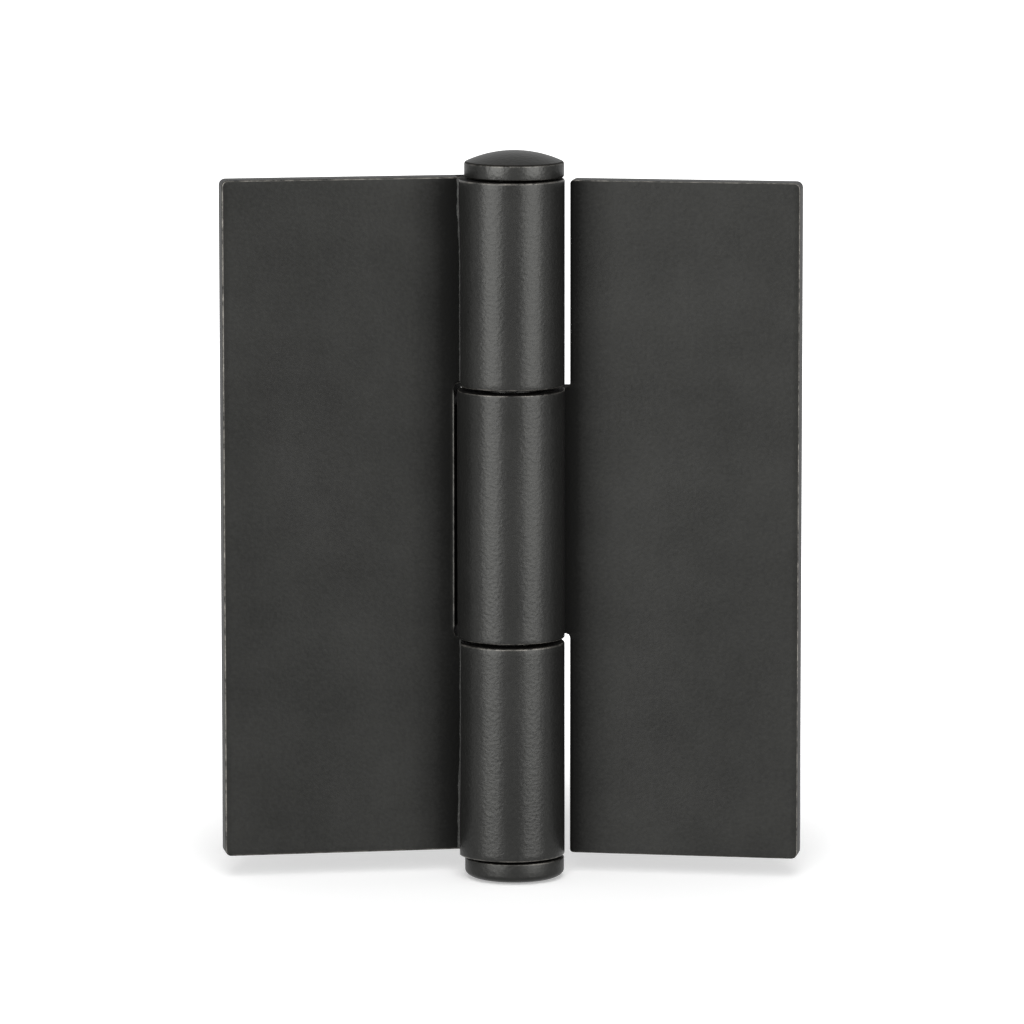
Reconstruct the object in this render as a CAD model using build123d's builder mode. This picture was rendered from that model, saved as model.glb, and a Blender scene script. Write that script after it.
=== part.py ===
# Weld-on butt hinge with two blank leaves, a headed pin and a button tip.
# Millimetres. Z runs up the pin, Y points to the back of the leaves, origin on the pin at mid height.

import math
import os

from build123d import *

os.makedirs("parts", exist_ok=True)

# Leaves
leaf_height = 76.2
leaf_reach = 32.0  # from the pin axis to the outer edge
leaf_thickness = 2.78
leaf_fold = 9.4  # each leaf swings this many degrees to the front of flat
leaf_corner = 0.7
edge_round = 0.3  # tumbled edge all round
right_leaf_drop = 0.35  # the loose leaf hangs a little lower

# Pin and barrel
pin_diameter = 6.35
running_clearance = 0.05
knuckle_gap = 0.5
top_knuckle = 23.12
middle_knuckle = 27.93

# Rolled eye: the curl passes its half turn, then runs straight to the sheet
curl_past = 9.0  # degrees
seam_gap = 0.1

# Notches, from the pin axis to the bottom of the notch
left_notch_reach = 5.5
right_notch_reach = 6.15
notch_corner = 0.45

# Pin head and button tip
head_diameter = 11.14
head_side = 1.7
head_dome = 1.27
head_gap = 0.2
head_shift = 0.36  # both ends stand a little off the axis, to the right
rim_round = 0.22
tip_side = 1.57
tip_round = 0.85  # drop of the rounded rim
tip_inset = 1.5  # and how far it comes in
tip_crown = 0.16
tip_gap = 0.15
spigot_length = 6.0
spigot_clearance = 0.02
pin_end_gap = 0.5
lead_chamfer = 0.5

bore_radius = pin_diameter / 2 + running_clearance
barrel_radius = bore_radius + leaf_thickness
head_radius = head_diameter / 2
leaf_top = leaf_height / 2
leaf_bottom = -leaf_height / 2
middle_top = leaf_top - top_knuckle - knuckle_gap
middle_bottom = middle_top - middle_knuckle
notch_span = middle_knuckle + 2 * knuckle_gap
notch_middle = (middle_top + middle_bottom) / 2
right_top = leaf_top - right_leaf_drop
right_bottom = leaf_bottom - right_leaf_drop
cut_past = barrel_radius + 2 * notch_corner + 1
top_cut = right_top + 2 * notch_corner + 1
bottom_cut = right_bottom - 2 * notch_corner - 1
head_low = leaf_top + head_gap
head_top = head_low + head_side + head_dome
dome_radius = (head_radius ** 2 + head_dome ** 2) / (2 * head_dome)
tip_high = leaf_bottom - tip_gap
tip_low = tip_high - tip_side
tip_bottom = tip_low - tip_round - tip_crown
crown_radius = head_radius - tip_inset
crown_sphere = (crown_radius ** 2 + tip_crown ** 2) / (2 * tip_crown)
spigot_top = leaf_bottom + spigot_length
pin_end = spigot_top + pin_end_gap

# Where the curl leaves its circle, and its sheared end
curl = math.radians(curl_past)
sheet_front = bore_radius - seam_gap
curl_side = bore_radius - seam_gap / 2  # between the sheet and the end of its curl
straight = (sheet_front - barrel_radius * math.sin(curl)) / math.cos(curl)
outer_leave = (barrel_radius * math.cos(curl), barrel_radius * math.sin(curl))
inner_leave = (bore_radius * math.cos(curl), bore_radius * math.sin(curl))
outer_end = (outer_leave[0] - straight * math.sin(curl), sheet_front)
inner_end = (inner_leave[0] - straight * math.sin(curl), inner_leave[1] + straight * math.cos(curl))

# Each leaf is drawn flat in its own plane, then that plane is folded about the pin
fold = math.radians(leaf_fold)
left_along = (math.cos(fold), math.sin(fold), 0)
left_front = (math.sin(fold), -math.cos(fold), 0)
right_along = (math.cos(fold), -math.sin(fold), 0)
right_front = (-math.sin(fold), -math.cos(fold), 0)
left_floor = Plane(origin=(0, 0, leaf_bottom), x_dir=left_along, z_dir=(0, 0, 1))
left_face = Plane(origin=(0, 0, 0), x_dir=left_along, z_dir=left_front)
right_floor = Plane(origin=(0, 0, right_bottom), x_dir=right_along, z_dir=(0, 0, 1))
right_face = Plane(origin=(0, 0, 0), x_dir=right_along, z_dir=right_front)
head_plane = Plane(origin=(head_shift, 0, 0), x_dir=(1, 0, 0), z_dir=(0, -1, 0))
end_axis = Axis((head_shift, 0, 0), (0, 0, 1))
left_axis = Axis((0, 0, 0), left_along)
left_normal = Axis((0, 0, 0), left_front)
right_axis = Axis((0, 0, 0), right_along)
right_normal = Axis((0, 0, 0), right_front)

# Left leaf: sheet and curl in one section, then the notch for the middle knuckle
with BuildPart() as left_leaf:
    with BuildSketch(left_floor):
        with BuildLine():
            Line((-leaf_reach, barrel_radius), (0, barrel_radius))
            CenterArc((0, 0), barrel_radius, 90, -270 - curl_past)
            Line((-outer_leave[0], outer_leave[1]), (-outer_end[0], outer_end[1]))
            Line((-outer_end[0], outer_end[1]), (-inner_end[0], inner_end[1]))
            Line((-inner_end[0], inner_end[1]), (-inner_leave[0], inner_leave[1]))
            CenterArc((0, 0), bore_radius, 180 - curl_past, 270 + curl_past)
            Line((0, bore_radius), (-leaf_reach, bore_radius))
            Line((-leaf_reach, bore_radius), (-leaf_reach, barrel_radius))
        make_face()
    extrude(amount=leaf_height)
    with BuildSketch(left_face.offset(-curl_side)):
        with Locations((0, notch_middle)):
            Rectangle(2 * cut_past, notch_span)
    extrude(amount=2 * cut_past, mode=Mode.SUBTRACT)
    with BuildSketch(left_face):
        with Locations(((cut_past - left_notch_reach) / 2, notch_middle)):
            RectangleRounded(cut_past + left_notch_reach, notch_span, notch_corner)
    extrude(amount=cut_past, both=True, mode=Mode.SUBTRACT)
    fillet(left_leaf.edges().filter_by(left_normal).sort_by(left_axis)[:2], leaf_corner)
    left_flats = left_leaf.faces().filter_by(left_normal)
    fillet(left_flats.edges().sort_by(left_axis)[:-4], edge_round)
left_leaf.part.label = "left_leaf"

# Right leaf: the same section the other way round, with a notch above and below its knuckle
with BuildPart() as right_leaf:
    with BuildSketch(right_floor):
        with BuildLine():
            Line((leaf_reach, barrel_radius), (0, barrel_radius))
            CenterArc((0, 0), barrel_radius, 90, 270 + curl_past)
            Line(outer_leave, outer_end)
            Line(outer_end, inner_end)
            Line(inner_end, inner_leave)
            CenterArc((0, 0), bore_radius, curl_past, -270 - curl_past)
            Line((0, bore_radius), (leaf_reach, bore_radius))
            Line((leaf_reach, bore_radius), (leaf_reach, barrel_radius))
        make_face()
    extrude(amount=leaf_height)
    with BuildSketch(right_face.offset(-curl_side)):
        with Locations((0, (middle_top + top_cut) / 2)):
            Rectangle(2 * cut_past, top_cut - middle_top)
        with Locations((0, (middle_bottom + bottom_cut) / 2)):
            Rectangle(2 * cut_past, middle_bottom - bottom_cut)
    extrude(amount=2 * cut_past, mode=Mode.SUBTRACT)
    with BuildSketch(right_face):
        with Locations(((right_notch_reach - cut_past) / 2, (middle_top + top_cut) / 2)):
            RectangleRounded(cut_past + right_notch_reach, top_cut - middle_top, notch_corner)
        with Locations(((right_notch_reach - cut_past) / 2, (middle_bottom + bottom_cut) / 2)):
            RectangleRounded(cut_past + right_notch_reach, middle_bottom - bottom_cut, notch_corner)
    extrude(amount=cut_past, both=True, mode=Mode.SUBTRACT)
    fillet(right_leaf.edges().filter_by(right_normal).sort_by(right_axis)[-2:], leaf_corner)
    right_flats = right_leaf.faces().filter_by(right_normal)
    fillet(right_flats.edges().sort_by(right_axis)[2:], edge_round)
right_leaf.part.label = "right_leaf"

# Pin: shank to the bottom knuckle, domed head on top
with BuildPart() as hinge_pin:
    with BuildSketch(Plane.XY.offset(pin_end)):
        Circle(pin_diameter / 2)
    extrude(amount=head_low - pin_end)
    chamfer(hinge_pin.edges().group_by(Axis.Z)[0], lead_chamfer)
    with BuildSketch(head_plane):
        with BuildLine():
            Line((0, head_low), (head_radius, head_low))
            Line((head_radius, head_low), (head_radius, head_low + head_side))
            RadiusArc((head_radius, head_low + head_side), (0, head_top), -dome_radius)
            Line((0, head_top), (0, head_low))
        make_face()
    revolve(axis=end_axis)
    fillet(hinge_pin.edges().filter_by(GeomType.CIRCLE).sort_by(Axis.Z)[-2:], rim_round)
hinge_pin.part.label = "hinge_pin"

# Button tip: spigot up the bore of the bottom knuckle, rounded button below
with BuildPart() as bottom_tip:
    with BuildSketch(Plane.XY.offset(tip_high)):
        Circle(bore_radius - spigot_clearance)
    extrude(amount=spigot_top - tip_high)
    chamfer(bottom_tip.edges().group_by(Axis.Z)[-1], lead_chamfer)
    with BuildSketch(head_plane):
        with BuildLine():
            Line((0, tip_high), (head_radius, tip_high))
            Line((head_radius, tip_high), (head_radius, tip_low))
            EllipticalCenterArc((crown_radius, tip_low), tip_inset, tip_round, arc_size=-90)
            RadiusArc((crown_radius, tip_low - tip_round), (0, tip_bottom), crown_sphere)
            Line((0, tip_bottom), (0, tip_high))
        make_face()
    revolve(axis=end_axis)
bottom_tip.part.label = "bottom_tip"

export_step(left_leaf.part, "parts/left_leaf.step")
export_step(right_leaf.part, "parts/right_leaf.step")
export_step(hinge_pin.part, "parts/hinge_pin.step")
export_step(bottom_tip.part, "parts/bottom_tip.step")
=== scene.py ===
import math

import bmesh
import bpy
from mathutils import Matrix, Vector, noise


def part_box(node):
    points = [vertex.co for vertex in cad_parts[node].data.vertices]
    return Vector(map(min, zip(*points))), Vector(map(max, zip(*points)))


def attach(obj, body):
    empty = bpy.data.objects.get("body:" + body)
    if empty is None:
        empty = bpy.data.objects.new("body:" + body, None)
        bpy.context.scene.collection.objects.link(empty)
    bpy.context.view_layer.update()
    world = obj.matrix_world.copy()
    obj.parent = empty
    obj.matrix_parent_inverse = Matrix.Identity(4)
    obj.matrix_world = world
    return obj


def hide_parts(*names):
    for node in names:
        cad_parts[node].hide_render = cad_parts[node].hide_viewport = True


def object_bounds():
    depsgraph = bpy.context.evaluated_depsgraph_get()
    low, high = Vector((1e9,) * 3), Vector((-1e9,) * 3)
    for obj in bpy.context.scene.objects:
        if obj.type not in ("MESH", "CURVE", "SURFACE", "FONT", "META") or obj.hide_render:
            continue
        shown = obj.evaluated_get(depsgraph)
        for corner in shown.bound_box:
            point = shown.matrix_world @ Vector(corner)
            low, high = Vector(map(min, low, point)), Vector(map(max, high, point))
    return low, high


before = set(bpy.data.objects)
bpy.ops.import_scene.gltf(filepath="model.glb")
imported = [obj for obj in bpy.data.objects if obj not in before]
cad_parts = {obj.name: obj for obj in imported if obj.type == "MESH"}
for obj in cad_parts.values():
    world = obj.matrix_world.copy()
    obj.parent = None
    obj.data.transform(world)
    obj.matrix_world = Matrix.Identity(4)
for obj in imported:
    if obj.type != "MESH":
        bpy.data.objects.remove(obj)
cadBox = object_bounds()
mm = 0.001
exact = 1e-7         # numbers closer than this are the same
level = 0.001 * mm   # so are heights
touch = 0.02 * mm    # and places on a face
print("frame loaded:", ", ".join(sorted(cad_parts)))


def newGroup(name, inputs, outputs):
    group = bpy.data.node_groups.new(name, "ShaderNodeTree")
    for socket in inputs:
        group.interface.new_socket(socket, in_out="INPUT", socket_type="NodeSocketFloat")
    for socket in outputs:
        group.interface.new_socket(socket, in_out="OUTPUT", socket_type="NodeSocketFloat")
    return group, group.nodes.new("NodeGroupInput"), group.nodes.new("NodeGroupOutput")


def addNoise(tree, place, detail, roughness):
    texture = tree.nodes.new("ShaderNodeTexNoise")
    texture.inputs["Detail"].default_value = detail
    texture.inputs["Roughness"].default_value = roughness
    tree.links.new(place, texture.inputs["Vector"])
    return texture


def addMath(tree, operation, first, second):
    # a number stays on the socket, anything else is linked to it
    step = tree.nodes.new("ShaderNodeMath")
    step.operation = operation
    for socket, value in zip(step.inputs, (first, second)):
        if isinstance(value, (int, float)):
            socket.default_value = value
        else:
            tree.links.new(value, socket)
    return step.outputs[0]


def addRange(tree, value, low, high, newLow=0.0, newHigh=1.0):
    step = tree.nodes.new("ShaderNodeMapRange")
    for socket, number in zip(("From Min", "From Max", "To Min", "To Max"), (low, high, newLow, newHigh)):
        step.inputs[socket].default_value = number
    tree.links.new(value, step.inputs["Value"])
    return step.outputs["Result"]


# each noise is (detail, roughness), and its span is the part that counts as nothing to full
grainLook = {
    "stretch": (0.9, 0.9, 1.05), "depth": 0.05 * mm,
    "speckle": (2, 0.45), "speckleSpan": (0.22, 0.78), "speckleShare": 0.26,
    "cloud": (4, 0.55), "cloudSpan": (0.30, 0.70), "cloudShare": (0.25, 0.47),
}
# breaks the worn rims, and the highlight painted on them, into patches
wearAndGlintLook = {"broken": (3, 0.65), "brokenSpan": (0.34, 0.66)}


# fine mill grain, lying a little along the sheet, over broad cloudy patches of oil
def grainGroup():
    group, inputs, outputs = newGroup("millGrain", ("Grain Size", "Cloud Size"), ("Tone", "Cloud", "Height"))
    link = group.links.new
    place = group.nodes.new("ShaderNodeTexCoord")
    lying = group.nodes.new("ShaderNodeMapping")
    lying.inputs["Scale"].default_value = grainLook["stretch"]
    link(place.outputs["Object"], lying.inputs["Vector"])
    speckle = addNoise(group, lying.outputs["Vector"], *grainLook["speckle"])
    cloud = addNoise(group, place.outputs["Object"], *grainLook["cloud"])
    link(inputs.outputs["Grain Size"], speckle.inputs["Scale"])
    link(inputs.outputs["Cloud Size"], cloud.inputs["Scale"])
    grainTone = addRange(group, speckle.outputs["Fac"], *grainLook["speckleSpan"])
    cloudTone = addRange(group, cloud.outputs["Fac"], *grainLook["cloudSpan"])
    tone = addMath(group, "ADD", addMath(group, "MULTIPLY", grainTone, grainLook["speckleShare"]),
                   addRange(group, cloudTone, 0, 1, *grainLook["cloudShare"]))
    link(tone, outputs.inputs["Tone"])
    link(cloudTone, outputs.inputs["Cloud"])
    link(speckle.outputs["Fac"], outputs.inputs["Height"])
    return group


# what the work left on the steel, and some painted light, from values that the pieces carry: worn rims, also
# painted bright as their highlight, broken up here, rough sheared ends painted dark as the shade in the
# gaps, a painted dark ring on the head, painted shade in the corner by the barrel, and faces that the
# rolling die or the header burnished
def workGroup():
    group, inputs, outputs = newGroup("workMarks", ("Break Size",), ("WearAndGlint", "RoughShade", "CornerShade", "Burnish"))
    link = group.links.new
    place = group.nodes.new("ShaderNodeTexCoord")
    marks = {}
    for name in ("edgeWearAndGlint", "shear", "cornerShade", "burnish"):
        marks[name] = group.nodes.new("ShaderNodeAttribute")
        marks[name].attribute_name = name
    broken = addNoise(group, place.outputs["Object"], *wearAndGlintLook["broken"])
    link(inputs.outputs["Break Size"], broken.inputs["Scale"])
    patches = addRange(group, broken.outputs["Fac"], *wearAndGlintLook["brokenSpan"])
    link(addMath(group, "MULTIPLY", marks["edgeWearAndGlint"].outputs["Fac"], patches), outputs.inputs["WearAndGlint"])
    link(marks["shear"].outputs["Fac"], outputs.inputs["RoughShade"])
    link(marks["cornerShade"].outputs["Fac"], outputs.inputs["CornerShade"])
    link(marks["burnish"].outputs["Fac"], outputs.inputs["Burnish"])
    return group


groups = {"grain": grainGroup(), "work": workGroup()}

leafSteel = {
    "name": "oiledLeafSteel", "dark": (0.026, 0.026, 0.025), "light": (0.060, 0.060, 0.057),
    # the rim colour is wear and also a painted highlight; the dark colour of the rough faces and the corner
    # darkening are painted shade
    "wornAndGlint": (0.240, 0.227, 0.206), "sheared": (0.014, 0.013, 0.012), "shearRough": 0.45, "cornerShade": 0.55,
    "grainSize": 2600, "cloudSize": 110, "breakSize": 900, "rough": (0.40, 0.46), "bump": 0.28,
    # the eyes: shinier, a little greyer, and marked by the rolling die
    "burnishTone": 0.0, "burnishRough": -0.11, "burnishMetal": -0.2, "burnishBump": 0.30,
}
pinSteel = {
    "name": "oiledPinSteel", "dark": (0.030, 0.030, 0.029), "light": (0.066, 0.066, 0.063),
    # the rim colour is wear and also a painted highlight; the dark colour of the head's rim ring is painted
    # shade
    "wornAndGlint": (0.160, 0.152, 0.139), "sheared": (0.022, 0.021, 0.019), "shearRough": 0.30, "cornerShade": 0.55,
    "grainSize": 2600, "cloudSize": 160, "breakSize": 1000, "rough": (0.39, 0.45), "bump": 0.65,
    # the head: brighter than the tip
    "burnishTone": 0.35, "burnishRough": -0.09, "burnishMetal": 0.0, "burnishBump": 0.0,
}


def addMix(tree, factor, first, second):
    mix = tree.nodes.new("ShaderNodeMix")
    mix.data_type = "RGBA"
    tree.links.new(factor, mix.inputs["Factor"])
    for socket, colour in (("A", first), ("B", second)):
        if isinstance(colour, tuple):
            mix.inputs[socket].default_value = (*colour, 1)
        else:
            tree.links.new(colour, mix.inputs[socket])
    return mix.outputs["Result"]


def oiledSteel(look):
    material = bpy.data.materials.new(look["name"])
    material.use_nodes = True
    tree = material.node_tree
    link = tree.links.new
    steel = tree.nodes["Principled BSDF"]
    grain = tree.nodes.new("ShaderNodeGroup")
    grain.node_tree = groups["grain"]
    grain.inputs["Grain Size"].default_value = look["grainSize"]
    grain.inputs["Cloud Size"].default_value = look["cloudSize"]
    work = tree.nodes.new("ShaderNodeGroup")
    work.node_tree = groups["work"]
    work.inputs["Break Size"].default_value = look["breakSize"]

    def burnished(value, change):
        return addMath(tree, "ADD", value, addMath(tree, "MULTIPLY", work.outputs["Burnish"], change))

    tone = burnished(grain.outputs["Tone"], look["burnishTone"])
    # painted shade: the tone darkens in the corner where the sheet meets the barrel
    tone = addMath(tree, "SUBTRACT", tone, addMath(tree, "MULTIPLY", work.outputs["CornerShade"], look["cornerShade"]))
    tone = addMix(tree, tone, look["dark"], look["light"])
    # painted shade: rough faces in the gaps, in the notch slot and on the head's rim ring take a dark colour
    tone = addMix(tree, work.outputs["RoughShade"], tone, look["sheared"])
    # the rims' wear colour, which is also a painted highlight on them
    link(addMix(tree, work.outputs["WearAndGlint"], tone, look["wornAndGlint"]), steel.inputs["Base Color"])
    rough = burnished(addRange(tree, grain.outputs["Cloud"], 0, 1, *look["rough"]), look["burnishRough"])
    coarse = addMath(tree, "MULTIPLY", work.outputs["RoughShade"], look["shearRough"])
    link(addMath(tree, "ADD", rough, coarse), steel.inputs["Roughness"])
    link(burnished(1.0, look["burnishMetal"]), steel.inputs["Metallic"])
    bump = tree.nodes.new("ShaderNodeBump")
    link(burnished(look["bump"], look["burnishBump"]), bump.inputs["Strength"])
    bump.inputs["Distance"].default_value = grainLook["depth"]
    link(grain.outputs["Height"], bump.inputs["Height"])
    link(bump.outputs["Normal"], steel.inputs["Normal"])
    return material


leafFinish = oiledSteel(leafSteel)
pinFinish = oiledSteel(pinSteel)
print("finishes made:", leafFinish.name, pinFinish.name)


def addPiece(name, bm, finish):
    mesh = bpy.data.meshes.new(name)
    bm.to_mesh(mesh)
    bm.free()
    mesh.shade_smooth()
    mesh.materials.append(finish)
    piece = bpy.data.objects.new(name, mesh)
    bpy.context.scene.collection.objects.link(piece)
    even = piece.modifiers.new("evenShading", "WEIGHTED_NORMAL")
    even.keep_sharp = True
    print("made", name, len(mesh.polygons), "faces")
    return piece


# shared by both leaves: one sheet, notched flat and then rolled into eyes round the pin
sheet = {
    "reach": 32.0 * mm,          # pin axis to outer edge
    "thickness": 2.78 * mm,
    "fold": math.radians(9.4),   # each leaf stands this far to the front of flat
    "bore": 3.225 * mm,          # also from the pin axis to the front of the sheet
    "seamGap": 0.1 * mm,
    "corner": 0.7 * mm,
    "edgeRound": 0.3 * mm,
    "sharpAngle": math.radians(50),
    "lipRound": 0.07 * mm,       # outer corner of the sheared end
    "shearNear": 0.35 * mm,      # cut faces lie this near the bottom of the notch
    "burnishFrom": 0.05 * mm,    # the eye starts this far in front of the sheet
    # where the painted shade beside the barrel is full, and where it ends
    "cornerShadeNear": 6.2 * mm,
    "cornerShadeFar": 11.0 * mm,
    "cell": 0.6 * mm,            # mesh size up the leaf
    "sheetCell": 1.2 * mm,       # along the sheet
    "curlCell": 0.32 * mm,       # and round the eye
    "room": 1.1,                 # cells at a rounding are this much larger than it
    "cornerPull": 0.293,         # middle of a rounding, as a share of its size off the corner
    "freeShare": 0.85,           # free corners of a notch, against its inner corners
}
leftLeaf = {
    "node": "left_leaf", "body": "fixed_leaf", "side": -1, "curlPast": math.radians(18),
    "notchReach": 5.5 * mm, "notches": [(-13.95 * mm, 14.98 * mm)], "notchCorner": 0.75 * mm,
    # the bottom of the notch: slanted through the sheet, with a web at its top, a ledge and a burr
    "slantFront": 0.45 * mm, "slantBack": 0.46 * mm, "slantReach": 1.5 * mm,
    "cornerWeb": 0.55 * mm, "webReach": 1.8 * mm,
    "ledgeDepth": 1.2 * mm, "ledgeWidth": 0.15 * mm, "notchBurr": 0.08 * mm,
    # the end of the curl: pressed in to this distance from the pin, and its lip
    "press": 5.64 * mm, "pressFlare": 0.14 * mm, "lip": 0.18 * mm, "lipFlare": 0.16 * mm,
    "flareTop": 8.0 * mm, "flareLow": 12.0 * mm,
}
rightLeaf = {
    "node": "right_leaf", "body": "swing_leaf", "side": 1, "curlPast": math.radians(9),
    "notchReach": 6.15 * mm, "notches": [(None, -13.45 * mm), (14.48 * mm, None)], "notchCorner": 0.45 * mm,
    "lip": 0.02 * mm, "lipFlare": 0.10 * mm, "flareTop": 1.0 * mm, "flareLow": 2.0 * mm,
}
burrLook = {
    "from": 0.005 * mm, "crest": 0.06 * mm, "to": 0.15 * mm,   # depths behind the front of the sheet
    "inside": 0.2 * mm, "outside": 0.35 * mm,                  # to each side of the rim
    # the wear on the ridge is also a painted highlight along it
    "footShare": 0.38, "fade": 1.0 * mm, "wearAndGlint": 0.3,
    "mean": 0.9, "wave": 0.5, "row": 3.1,
}
lipLook = {
    "mean": 0.9, "waves": ((0.35, 0.8), (0.3, 2.6)),   # height and pace
    "row": 7.3, "turnBack": 0.45, "flareGain": 1.6,
}


def markRoughShade(bm, leaf):
    # the ends of the eyes and the bottom of the notch: rougher, and painted dark as the shade in the gaps
    # between the eyes and in the notch slot
    shear = bm.faces.layers.float.new("shear")
    for face in bm.faces:
        x = face.calc_center_median().x
        endOfEye = abs(face.normal.z) > 0.9 and x > -leaf["notchReach"]
        notchBottom = face.normal.x > 0.8 and abs(x + leaf["notchReach"]) < sheet["shearNear"]
        face[shear] = float(endOfEye or notchBottom)


def markCornerShade(bm):
    # painted shade on the front of the sheet, darkest where it meets the barrel
    cornerShade = bm.verts.layers.float.new("cornerShade")
    near, far = sheet["cornerShadeNear"], sheet["cornerShadeFar"]
    for vert in bm.verts:
        if abs(vert.co.y - sheet["bore"]) < touch and vert.co.x < 0:
            vert[cornerShade] = max(0.0, min(1.0, (far + vert.co.x) / (far - near)))


def markBurnish(bm, burnishedHere):
    burnish = bm.verts.layers.float.new("burnish")
    for vert in bm.verts:
        vert[burnish] = float(burnishedHere(vert.co))


def markWearAndGlint(bm, faces):
    # only points inside the rounding are worn, so the wear, which is also a painted highlight on the rims,
    # stays a thin line
    wearAndGlint = bm.verts.layers.float.new("edgeWearAndGlint")
    rounding = set(faces)
    for face in rounding:
        for vert in face.verts:
            if all(near in rounding for near in vert.link_faces):
                vert[wearAndGlint] = 1


def gridLines(stops, size):
    # stops are (place, first cell beside it); the cells between come out near the given size
    lines = [stops[0][0]]
    for (low, lowCell), (high, highCell) in zip(stops, stops[1:]):
        inner = high - low - lowCell - highCell
        count = max(1, round(inner / size))
        lines += [low + lowCell + inner * i / count for i in range(count + 1)] + [high]
    return lines


def rollPoint(along, height, curlPast):
    # along runs from the outer edge of the flat sheet to the end of its curl, on the back face
    radius = sheet["bore"] + sheet["thickness"]
    turn = math.pi * 1.5 + curlPast
    if along <= sheet["reach"]:
        return Vector((along - sheet["reach"], radius, height))
    past = along - sheet["reach"]
    angle = min(past / radius, turn)
    straight = max(0.0, past - turn * radius)
    return Vector((math.sin(angle) * radius + math.cos(angle) * straight,
                   math.cos(angle) * radius - math.sin(angle) * straight, height))


def flatBlank(leaf, low, high, length):
    notches = [(low if a is None else a, high if b is None else b) for a, b in leaf["notches"]]
    notchAlong = sheet["reach"] - leaf["notchReach"]
    corner, inner = sheet["corner"] * sheet["room"], leaf["notchCorner"]
    ends = sorted({z for pair in notches for z in pair} - {low, high})
    heights = gridLines([(low, corner), *[(z, inner) for z in ends], (high, corner)], sheet["cell"])
    alongs = gridLines([(0, corner), (notchAlong, inner), (sheet["reach"], inner)], sheet["sheetCell"])
    turns = round((length - sheet["reach"]) / sheet["curlCell"])
    alongs += [sheet["reach"] + (length - sheet["reach"]) * (i + 1) / turns for i in range(turns)]

    bm = bmesh.new()
    columns, rows = len(alongs) - 1, len(heights) - 1
    grid = bmesh.ops.create_grid(bm, x_segments=columns, y_segments=rows, size=0.5)
    for vert in grid["verts"]:
        vert.co = (alongs[round((vert.co.x + 0.5) * columns)], 0, heights[round((vert.co.y + 0.5) * rows)])

    # the notch goes, but for one small cell in each inner corner that becomes its rounding
    def cutAway(face):
        middle = face.calc_center_median()
        for a, b in notches:
            if a < middle.z < b and middle.x > notchAlong:
                nearEnd = (a > low and middle.z - a < inner) or (b < high and b - middle.z < inner)
                return not (nearEnd and middle.x - notchAlong < inner)
        return False

    bmesh.ops.delete(bm, geom=[f for f in bm.faces if cutAway(f)], context="FACES")
    for vert in bm.verts:
        if len(vert.link_faces) == 1 and abs(vert.co.x - notchAlong - inner) < exact:
            end = min(ends, key=lambda z: abs(vert.co.z - z))
            if abs(abs(vert.co.z - end) - inner) < exact:
                away = sheet["cornerPull"] * inner
                vert.co = (notchAlong + away, 0, end + math.copysign(away, vert.co.z - end))
    outer = [v for v in bm.verts if v.co.x < exact and len(v.link_edges) == 2]
    bmesh.ops.bevel(bm, geom=outer, offset=sheet["corner"], offset_type="OFFSET", segments=5, profile=0.5,
                    affect="VERTICES", material=-1)
    free = [v for v in bm.verts if abs(v.co.x - notchAlong) < exact and len(v.link_edges) == 2]
    bmesh.ops.bevel(bm, geom=free, offset=sheet["freeShare"] * inner, offset_type="OFFSET", segments=3,
                    profile=0.5, affect="VERTICES", material=-1)
    return bm


def besideNotch(bm, leaf):
    # points level with a notch that is closed at both ends, which only the left leaf has
    closed = [pair for pair in leaf["notches"] if None not in pair]
    return [v for v in bm.verts if any(low - level < v.co.z < high + level for low, high in closed)]


def slantNotch(bm, leaf):
    # the shear broke out on a slant, so the notch is deeper on the front than on the back
    for vert in besideNotch(bm, leaf):
        out = -leaf["notchReach"] - vert.co.x
        inReach = -leaf["notchCorner"] * sheet["room"] < out < leaf["slantReach"]
        if vert.co.y > sheet["bore"] - touch and inReach:
            web = leaf["cornerWeb"] * max(0.0, 1 - (leaf["notches"][0][1] - vert.co.z) / leaf["webReach"])
            onFront = vert.co.y < sheet["bore"] + touch
            shift = -leaf["slantFront"] if onFront else leaf["slantBack"] + web
            vert.co.x += shift * (1 - max(0.0, out) / leaf["slantReach"])


def stepNotch(bm, leaf):
    # where the cut turned to a break, half way through the sheet, it left a narrow ledge
    beside = set(besideNotch(bm, leaf))
    if not beside:
        return

    def across(edge):
        front, back = sorted(edge.verts, key=lambda v: v.co.y)
        flat = abs(front.co.z - back.co.z) < level and front in beside
        onRim = abs(front.co.x + leaf["notchReach"] + leaf["slantFront"]) < touch
        return flat and onRim and back.co.y - front.co.y > 0.7 * sheet["thickness"]

    walls = [e for e in bm.edges if across(e)]
    rungs = [sorted((v.co.copy() for v in e.verts), key=lambda place: place.y) for e in walls]
    rungs.sort(key=lambda pair: pair[0].z)
    cut = bmesh.ops.subdivide_edges(bm, edges=walls, cuts=2, use_grid_fill=True)
    fresh = {v for v in cut["geom_inner"] if isinstance(v, bmesh.types.BMVert)}
    for vert in fresh:
        front, back = min(rungs, key=lambda pair: abs(pair[0].z - vert.co.z))
        deep = vert.co.y > (front.y + back.y) / 2
        vert.co.x = back.x if deep else front.x
        vert.co.y = sheet["bore"] + leaf["ledgeDepth"] + (leaf["ledgeWidth"] if deep else 0.0)
    for edge in bm.edges:
        if all(v in fresh for v in edge.verts):
            edge.smooth = False


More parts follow.
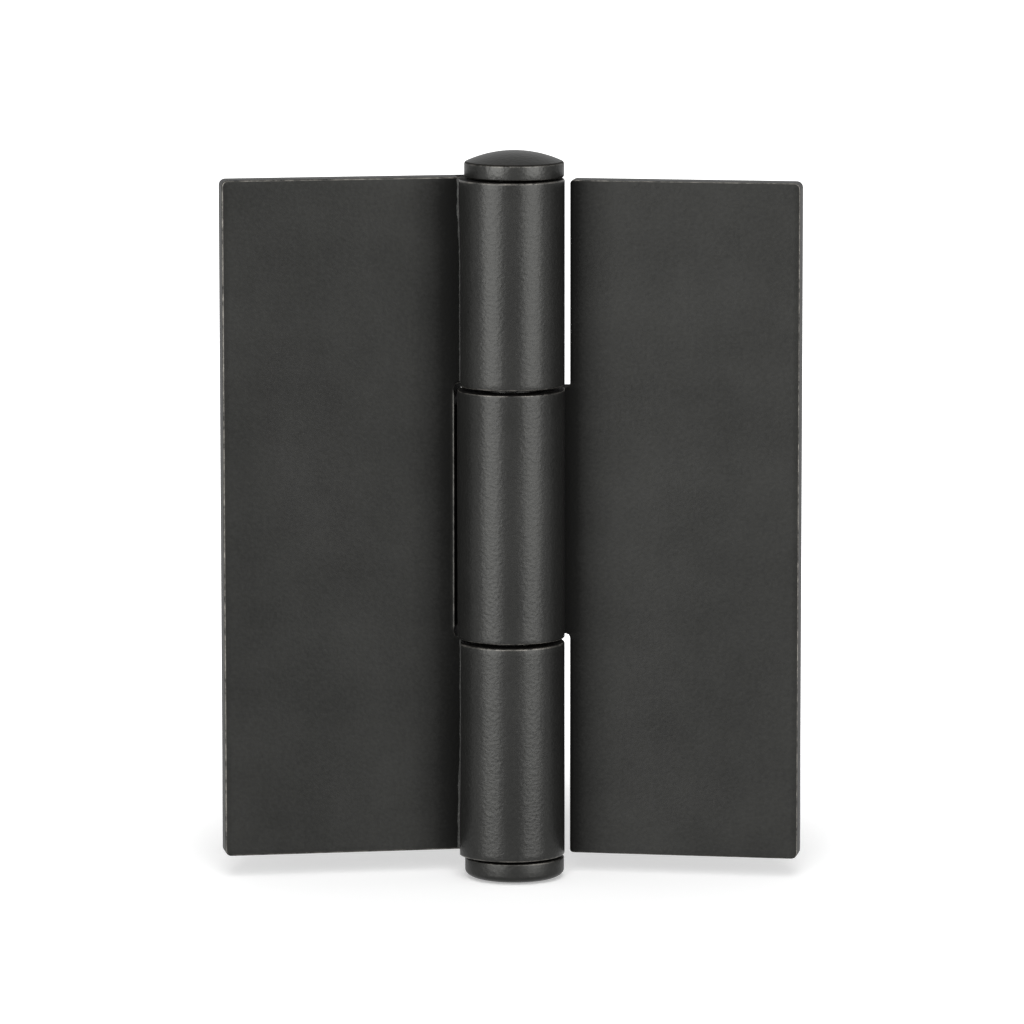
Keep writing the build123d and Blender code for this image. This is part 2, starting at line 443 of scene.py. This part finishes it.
def raiseBurr(bm, leaf):
    # the same shear left a low ridge on the front rim of the notch, highest by the slot
    wearAndGlint = bm.verts.layers.float["edgeWearAndGlint"]
    crest = set()
    for vert in besideNotch(bm, leaf):
        depth = vert.co.y - sheet["bore"]
        out = -leaf["notchReach"] - leaf["slantFront"] - vert.co.x
        if burrLook["from"] < depth < burrLook["to"] and -burrLook["inside"] < out < burrLook["outside"]:
            low, high = leaf["notches"][0]
            spot = Vector((burrLook["row"], 0, vert.co.z / mm))
            ragged = burrLook["mean"] + burrLook["wave"] * noise.noise(spot)
            ends = min(1.0, min(vert.co.z - low, high - vert.co.z) / burrLook["fade"])
            onCrest = depth > burrLook["crest"]
            rise = leaf["notchBurr"] if onCrest else burrLook["footShare"] * leaf["notchBurr"]
            vert.co.y -= (depth + rise * ragged) * max(0.0, ends)
            # painted highlight along the ridge, carried as wear
            vert[wearAndGlint] = burrLook["wearAndGlint"]
            if onCrest:
                crest.add(vert)
    for edge in bm.edges:
        if all(v in crest for v in edge.verts):
            edge.smooth = False


def flareAt(leaf, z, low, high):
    # where the shear came in and went out
    flare = max(0.0, 1 - (high - z) / leaf["flareTop"], 1 - (z - low) / leaf["flareLow"])
    return min(1.0, lipLook["flareGain"] * flare)


def pressEnd(bm, leaf, low, high):
    # the last of the curl is pressed square to the front, less at the ends of the leaf
    tilt = Vector((math.cos(sheet["fold"]), -math.sin(sheet["fold"]), 0))
    for vert in bm.verts:
        over = -leaf["press"] - leaf["pressFlare"] * flareAt(leaf, vert.co.z, low, high) - vert.co.dot(tilt)
        if over > 0 and vert.co.y < sheet["bore"] - touch:
            vert.co += tilt * over


def lipHeight(leaf, z, low, high):
    # the burr on the sheared end: ragged all along, and flared at the ends of the leaf
    spot = Vector((0, lipLook["row"] * leaf["side"], z / mm))
    ragged = lipLook["mean"] + sum(height * noise.noise(spot * pace) for height, pace in lipLook["waves"])
    return max(0.0, ragged) * (leaf["lip"] + leaf["lipFlare"] * flareAt(leaf, z, low, high))


def makeLeaf(leaf):
    boxLow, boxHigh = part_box(leaf["node"])
    low, high = boxLow.z, boxHigh.z
    radius = sheet["bore"] + sheet["thickness"]
    past = leaf["curlPast"]
    tail = (sheet["bore"] - sheet["seamGap"] - radius * math.sin(past)) / math.cos(past)
    length = sheet["reach"] + radius * (math.pi * 1.5 + past) + tail
    bm = flatBlank(leaf, low, high, length)

    # roll it up and give it its thickness
    for vert in bm.verts:
        vert.co = rollPoint(vert.co.x, vert.co.z, past)
    bmesh.ops.recalc_face_normals(bm, faces=bm.faces)
    if sum(f.normal.y * f.calc_area() for f in bm.faces if f.calc_center_median().x < -radius) < 0:
        bmesh.ops.reverse_faces(bm, faces=bm.faces)
    bmesh.ops.solidify(bm, geom=bm.faces[:], thickness=sheet["thickness"])
    bmesh.ops.recalc_face_normals(bm, faces=bm.faces)

    slantNotch(bm, leaf)

    # round the rims, all but the two long edges of the sheared end
    outerEnd = rollPoint(length, 0, past)
    innerEnd = outerEnd + Vector((math.cos(past), -math.sin(past), 0)) * sheet["thickness"]

    def runsAlong(edge, end):
        return all((Vector((v.co.x, v.co.y, 0)) - end).length < touch for v in edge.verts)

    sharp = [e for e in bm.edges if len(e.link_faces) == 2 and e.calc_face_angle() > sheet["sharpAngle"]]
    rims = [e for e in sharp if not runsAlong(e, outerEnd) and not runsAlong(e, innerEnd)]
    rounded = bmesh.ops.bevel(bm, geom=rims, offset=sheet["edgeRound"], offset_type="OFFSET", segments=3,
                              profile=0.5, affect="EDGES", material=-1, clamp_overlap=True)
    markWearAndGlint(bm, rounded["faces"])

    # the outer corner of the sheared end is a ragged lip that stands out along the sheet
    lip = bmesh.ops.bevel(bm, geom=[e for e in bm.edges if runsAlong(e, outerEnd)], offset=sheet["lipRound"],
                          offset_type="OFFSET", segments=2, profile=0.5, affect="EDGES", material=-1)
    if "press" in leaf:
        pressEnd(bm, leaf, low, high)
    lipFaces = set(lip["faces"])
    for edge in {e for f in lipFaces for e in f.edges}:
        edge.smooth = False
    for vert in {v for f in lipFaces for v in f.verts if all(near in lipFaces for near in v.link_faces)}:
        height = lipHeight(leaf, vert.co.z, low, high)
        vert.co.x -= height
        vert.co.y += lipLook["turnBack"] * max(0.0, height - leaf["lip"])
    markBurnish(bm, lambda place: place.x > 0 or place.y < sheet["bore"] - sheet["burnishFrom"])
    markRoughShade(bm, leaf)
    markCornerShade(bm)
    raiseBurr(bm, leaf)
    stepNotch(bm, leaf)
    if leaf["side"] > 0:
        bmesh.ops.scale(bm, vec=(-1, 1, 1), verts=bm.verts)
        bmesh.ops.recalc_face_normals(bm, faces=bm.faces)
    bmesh.ops.rotate(bm, cent=(0, 0, 0), matrix=Matrix.Rotation(-leaf["side"] * sheet["fold"], 3, "Z"),
                     verts=bm.verts)
    piece = addPiece(leaf["node"] + "_rolled", bm, leafFinish)
    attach(piece, leaf["body"])
    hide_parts(leaf["node"])


for leaf in (leftLeaf, rightLeaf):
    makeLeaf(leaf)

# pin and button are turned: each is spun in two lengths, whose open rims are then bridged
turned = {
    "steps": 128, "headRadius": 5.57 * mm, "offAxis": 0.36 * mm, "rimRound": 0.22 * mm, "lead": 0.5 * mm,
    "bridgeAt": 4.3 * mm, "rimsFrom": 4.73 * mm, "sharpAngle": math.radians(35),
}
pinHead = {
    "pinRadius": 3.175 * mm, "end": -31.6 * mm, "low": 38.3 * mm, "side": 1.7 * mm,
    "dome": 1.27 * mm, "domeSteps": 24, "ringIn": 5.3 * mm, "ringOut": 5.53 * mm,
}
buttonTip = {
    "spigotRadius": 3.205 * mm, "top": -32.1 * mm, "high": -38.36 * mm, "side": 1.46 * mm,
    "round": 0.85 * mm, "inset": 1.5 * mm, "roundSteps": 10, "crown": 0.16 * mm, "crownSteps": 6,
}
sideTop = pinHead["low"] + pinHead["side"]


def arcPoints(rise, radius, count):
    # from the rim in to the middle of a shallow dome, as (radius, height above the rim)
    ball = (radius ** 2 + rise ** 2) / (2 * rise)
    spread = math.asin(radius / ball)
    angles = [spread * (1 - i / count) for i in range(count + 1)]
    return [(ball * math.sin(a), ball * math.cos(a) - ball + rise) for a in angles]


def spinProfile(bm, points, offAxis):
    # points are (radius, height); the last one of a closed end lies on the axis
    verts = [bm.verts.new((offAxis + radius, 0, height)) for radius, height in points]
    edges = [bm.edges.new(pair) for pair in zip(verts, verts[1:])]
    bmesh.ops.spin(bm, geom=verts + edges, cent=(offAxis, 0, 0), axis=(0, 0, 1), angle=math.tau,
                   steps=turned["steps"], use_merge=True)


def fromAxis(place):
    return math.hypot(place.x - turned["offAxis"], place.y)


def markRing(bm):
    # a dark, rough ring on the rim of the head, where its dome starts: painted shade
    shear = bm.faces.layers.float.new("shear")
    for face in bm.faces:
        middle = face.calc_center_median()
        onRim = middle.z > sideTop - turned["rimRound"] / 2
        face[shear] = float(onRim and pinHead["ringIn"] < fromAxis(middle) < pinHead["ringOut"])


def makeTurned(name, node, shank, button):
    bm = bmesh.new()
    spinProfile(bm, shank, 0)
    spinProfile(bm, button, turned["offAxis"])
    bmesh.ops.remove_doubles(bm, verts=bm.verts, dist=level)
    bmesh.ops.bridge_loops(bm, edges=[e for e in bm.edges if e.is_boundary])
    bmesh.ops.recalc_face_normals(bm, faces=bm.faces)
    sharp = [e for e in bm.edges if len(e.link_faces) == 2 and e.calc_face_angle() > turned["sharpAngle"]]
    rims = [e for e in sharp if max(fromAxis(v.co) for v in e.verts) > turned["rimsFrom"]]
    rounded = bmesh.ops.bevel(bm, geom=rims, offset=turned["rimRound"], offset_type="OFFSET", segments=3,
                              profile=0.5, affect="EDGES", material=-1)
    # worn rims, also painted bright as their highlight
    markWearAndGlint(bm, [f for f in rounded["faces"] if f.calc_center_median().z < sideTop])
    markRing(bm)
    markBurnish(bm, lambda place: place.z > 0)
    piece = addPiece(name, bm, pinFinish)
    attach(piece, "fixed_leaf")
    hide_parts(node)


def makePin():
    look, lead, radius = pinHead, turned["lead"], turned["headRadius"]
    shank = [(look["pinRadius"], look["low"]), (look["pinRadius"], look["end"] + lead),
             (look["pinRadius"] - lead, look["end"]), (0, look["end"])]
    head = [(turned["bridgeAt"], look["low"]), (radius, look["low"]), (radius, sideTop)]
    head += [(r, sideTop + z) for r, z in arcPoints(look["dome"], radius, look["domeSteps"])[1:]]
    makeTurned("hinge_pin_turned", "hinge_pin", shank, head)


def makeTip():
    look, lead, radius = buttonTip, turned["lead"], turned["headRadius"]
    low = look["high"] - look["side"]
    spigot = [(look["spigotRadius"], look["high"]), (look["spigotRadius"], look["top"] - lead),
              (look["spigotRadius"] - lead, look["top"]), (0, look["top"])]
    button = [(turned["bridgeAt"], look["high"]), (radius, look["high"]), (radius, low)]
    for i in range(1, look["roundSteps"] + 1):
        turn = math.pi / 2 * i / look["roundSteps"]
        button.append((radius - look["inset"] * (1 - math.cos(turn)), low - look["round"] * math.sin(turn)))
    crown = arcPoints(look["crown"], radius - look["inset"], look["crownSteps"])[1:]
    button += [(r, low - look["round"] - z) for r, z in crown]
    makeTurned("bottom_tip_turned", "bottom_tip", spigot, button)


makePin()
makeTip()

# studio
camera = {
    "pitch": math.radians(8.05), "distance": 828.5 * mm, "lens": 260.3, "sensor": 36,
    "right": 0.18 * mm, "up": 0.67 * mm, "roll": 0.0007, "near": 0.05, "far": 20,
}


def placeCamera():
    data = bpy.data.cameras.new("photoCamera")
    data.lens = camera["lens"]
    data.sensor_width = camera["sensor"]
    data.clip_start = camera["near"]
    data.clip_end = camera["far"]
    view = bpy.data.objects.new("photoCamera", data)
    forward = Vector((0, math.cos(camera["pitch"]), -math.sin(camera["pitch"])))
    up = Vector((0, math.sin(camera["pitch"]), math.cos(camera["pitch"])))
    view.location = -forward * camera["distance"] + Vector((camera["right"], 0, 0)) + up * camera["up"]
    view.rotation_euler = (math.pi / 2 - camera["pitch"], camera["roll"], 0)
    bpy.context.scene.collection.objects.link(view)
    bpy.context.scene.camera = view


softboxes = [
    {"name": "leftBox", "turn": -42.3, "rise": 21, "away": 0.75, "size": (0.55, 1.0), "power": 5.7,
     "lights": "metal"},
    {"name": "rightBox", "turn": 46.5, "rise": 21, "away": 0.75, "size": (0.56, 1.0), "power": 5.2,
     "lights": "metal"},
    {"name": "frontBox", "turn": 0, "rise": 35, "away": 1.0, "size": (0.5, 0.9), "power": 8.0,
     "lights": "paper"},
]
studio = {
    "wide": 8.0, "front": -4.0, "back": 2.0, "tall": 1.2, "sweep": 0.4, "sweepSteps": 12,
    "paper": (0.80, 0.80, 0.80), "paperRough": 0.9,
    "glowNear": 0.37, "glowFar": 1.0, "nearEnd": 0.056, "farStart": 0.11,
    "room": 0.52, "below": 0.64, "horizon": 0.04,
}


def placeSoftbox(box):
    data = bpy.data.lights.new(box["name"], "AREA")
    data.shape = "RECTANGLE"
    data.size, data.size_y = box["size"]
    data.energy = box["power"]
    lamp = bpy.data.objects.new(box["name"], data)
    turn, rise = math.radians(box["turn"]), math.radians(box["rise"])
    direction = Vector((math.sin(turn) * math.cos(rise), -math.cos(turn) * math.cos(rise), math.sin(rise)))
    lamp.location = direction * box["away"]
    lamp.rotation_euler = direction.to_track_quat("Z", "Y").to_euler()
    lamp.visible_glossy = box["lights"] == "metal"
    lamp.visible_diffuse = box["lights"] == "paper"
    bpy.context.scene.collection.objects.link(lamp)


def paperFinish():
    material = bpy.data.materials.new("studioPaper")
    material.use_nodes = True
    tree = material.node_tree
    link = tree.links.new
    paper = tree.nodes["Principled BSDF"]
    paper.inputs["Base Color"].default_value = (*studio["paper"], 1)
    paper.inputs["Roughness"].default_value = studio["paperRough"]
    paper.inputs["Specular IOR Level"].default_value = 0
    # white to the eye, less the shadow that the object casts on it
    path = tree.nodes.new("ShaderNodeLightPath")
    place = tree.nodes.new("ShaderNodeTexCoord")
    away = tree.nodes.new("ShaderNodeVectorMath")
    away.operation = "LENGTH"
    link(place.outputs["Object"], away.inputs[0])
    fade = addRange(tree, away.outputs["Value"], studio["nearEnd"], studio["farStart"],
                    studio["glowNear"], studio["glowFar"])
    glow = tree.nodes.new("ShaderNodeEmission")
    link(addMath(tree, "MULTIPLY", path.outputs["Is Camera Ray"], fade), glow.inputs["Strength"])
    both = tree.nodes.new("ShaderNodeAddShader")
    link(paper.outputs["BSDF"], both.inputs[0])
    link(glow.outputs["Emission"], both.inputs[1])
    link(both.outputs["Shader"], tree.nodes["Material Output"].inputs["Surface"])
    return material


def layPaper():
    # one sheet of paper: a floor that sweeps up behind the object
    bm = bmesh.new()
    bmesh.ops.create_grid(bm, x_segments=1, y_segments=1, size=0.5)
    depth = studio["back"] - studio["front"]
    bmesh.ops.scale(bm, vec=(studio["wide"], depth, 1), verts=bm.verts)
    bmesh.ops.translate(bm, vec=(0, studio["front"] + depth / 2, cadBox[0].z), verts=bm.verts)
    back = max(bm.edges, key=lambda e: (e.verts[0].co.y + e.verts[1].co.y))
    wall = bmesh.ops.extrude_edge_only(bm, edges=[back])
    wallTop = [v for v in wall["geom"] if isinstance(v, bmesh.types.BMVert)]
    bmesh.ops.translate(bm, vec=(0, 0, studio["tall"]), verts=wallTop)
    crease = [e for e in bm.edges if len(e.link_faces) == 2]
    bmesh.ops.bevel(bm, geom=crease, offset=studio["sweep"], offset_type="OFFSET",
                    segments=studio["sweepSteps"], profile=0.5, affect="EDGES", material=-1)
    mesh = bpy.data.meshes.new("studioPaper")
    bm.to_mesh(mesh)
    bm.free()
    mesh.shade_smooth()
    mesh.materials.append(paperFinish())
    paper = bpy.data.objects.new("studioPaper", mesh)
    bpy.context.scene.collection.objects.link(paper)
    # the table is small: metal looks past the paper, and the boxes hang lower than its edge
    paper.visible_glossy = False
    paper.visible_shadow = False


def fillRoom():
    world = bpy.data.worlds.new("studioRoom")
    bpy.context.scene.world = world
    world.use_nodes = True
    tree = world.node_tree
    background = tree.nodes["Background"]
    background.inputs["Color"].default_value = (1, 1, 1, 1)
    # pale below the table, dimmer above, and white to the eye
    place = tree.nodes.new("ShaderNodeTexCoord")
    split = tree.nodes.new("ShaderNodeSeparateXYZ")
    tree.links.new(place.outputs["Generated"], split.inputs["Vector"])
    room = addRange(tree, split.outputs["Z"], -studio["horizon"], studio["horizon"],
                    studio["below"], studio["room"])
    path = tree.nodes.new("ShaderNodeLightPath")
    seen = addMath(tree, "MAXIMUM", room, path.outputs["Is Camera Ray"])
    tree.links.new(seen, background.inputs["Strength"])


placeCamera()
for box in softboxes:
    placeSoftbox(box)
layPaper()
fillRoom()
bpy.context.scene.view_settings.view_transform = "Standard"
print("studio set")
